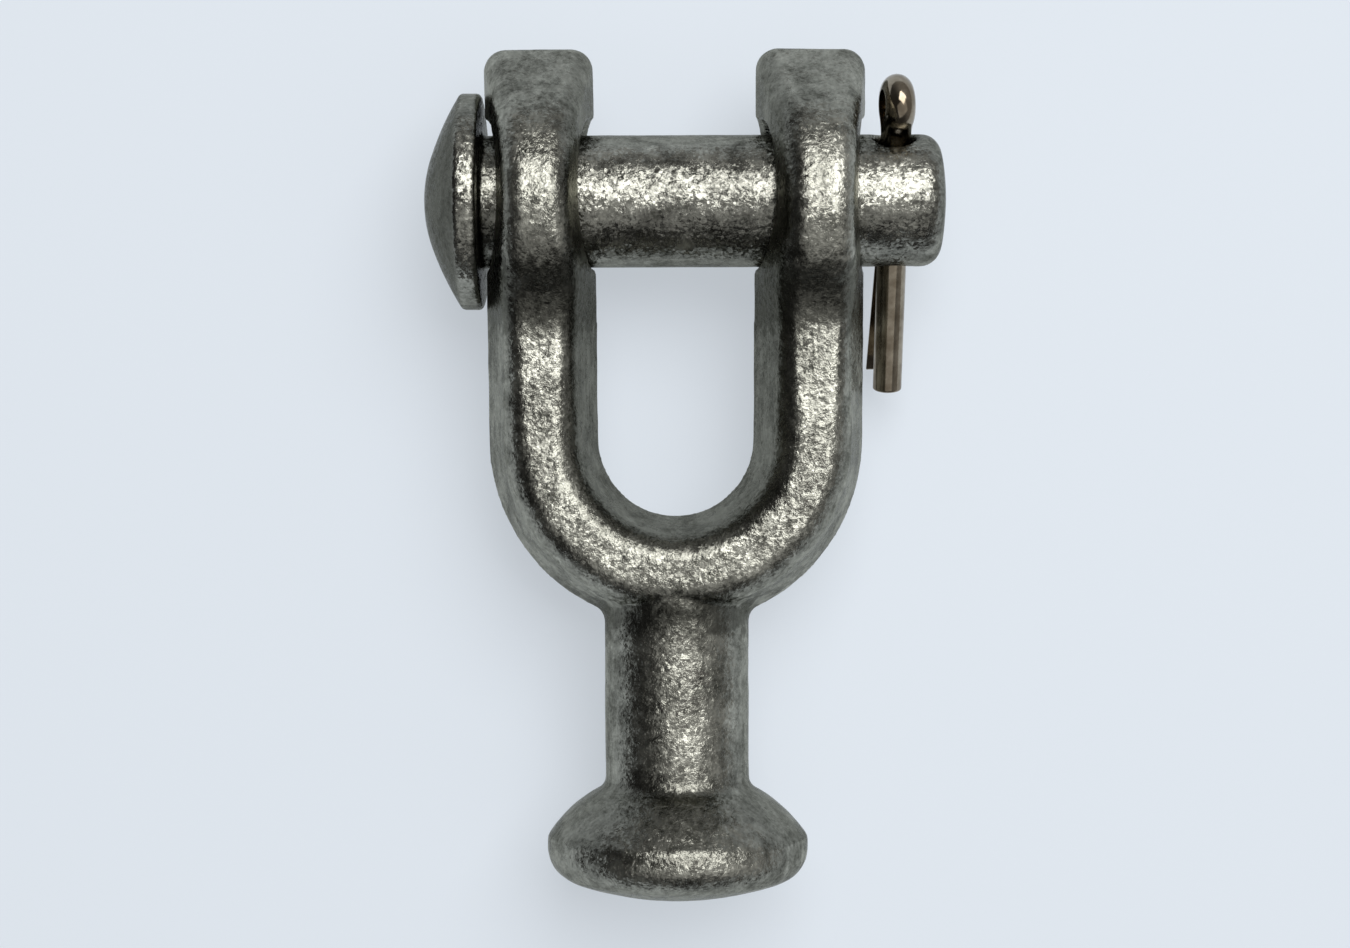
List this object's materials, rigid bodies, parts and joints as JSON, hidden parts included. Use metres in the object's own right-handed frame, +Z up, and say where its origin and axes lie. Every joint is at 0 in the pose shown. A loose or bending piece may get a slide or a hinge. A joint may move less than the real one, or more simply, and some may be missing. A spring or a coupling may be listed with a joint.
{
  "type": "ball clevis with clevis pin and cotter",
  "caption": "Galvanised forged ball clevis for pole-line hardware: a Y-shaped clevis with a ball on its stem, a domed-head clevis pin and a split cotter pin.",
  "frame": {"origin": "centre of the clevis pin, midway between the two ears", "axes": "+X along the clevis pin from its head to its cotter, +Y along the stem from the ball to the ears, +Z up, square to the parting plane of the forging; the clevis lies flat"},
  "size_m": [0.063, 0.1028, 0.0314],
  "materials": {
    "zinc": "hot-dip galvanised, dull and slightly grainy",
    "zinc_pin": "hot-dip galvanised, satin",
    "wire": "drawn wire, smooth and slightly brown"
  },
  "bodies": {
    "clevis": {"clevis_body": "zinc"},
    "pin": {"clevis_pin": "zinc_pin", "cotter_pin": "wire"}
  },
  "joints": [
    {"name": "clevis_pin_turn", "type": "hinge", "parent": "clevis", "child": "pin", "pos_m": [0, 0, 0], "axis": [1, 0, 0], "continuous": true}
  ]
}
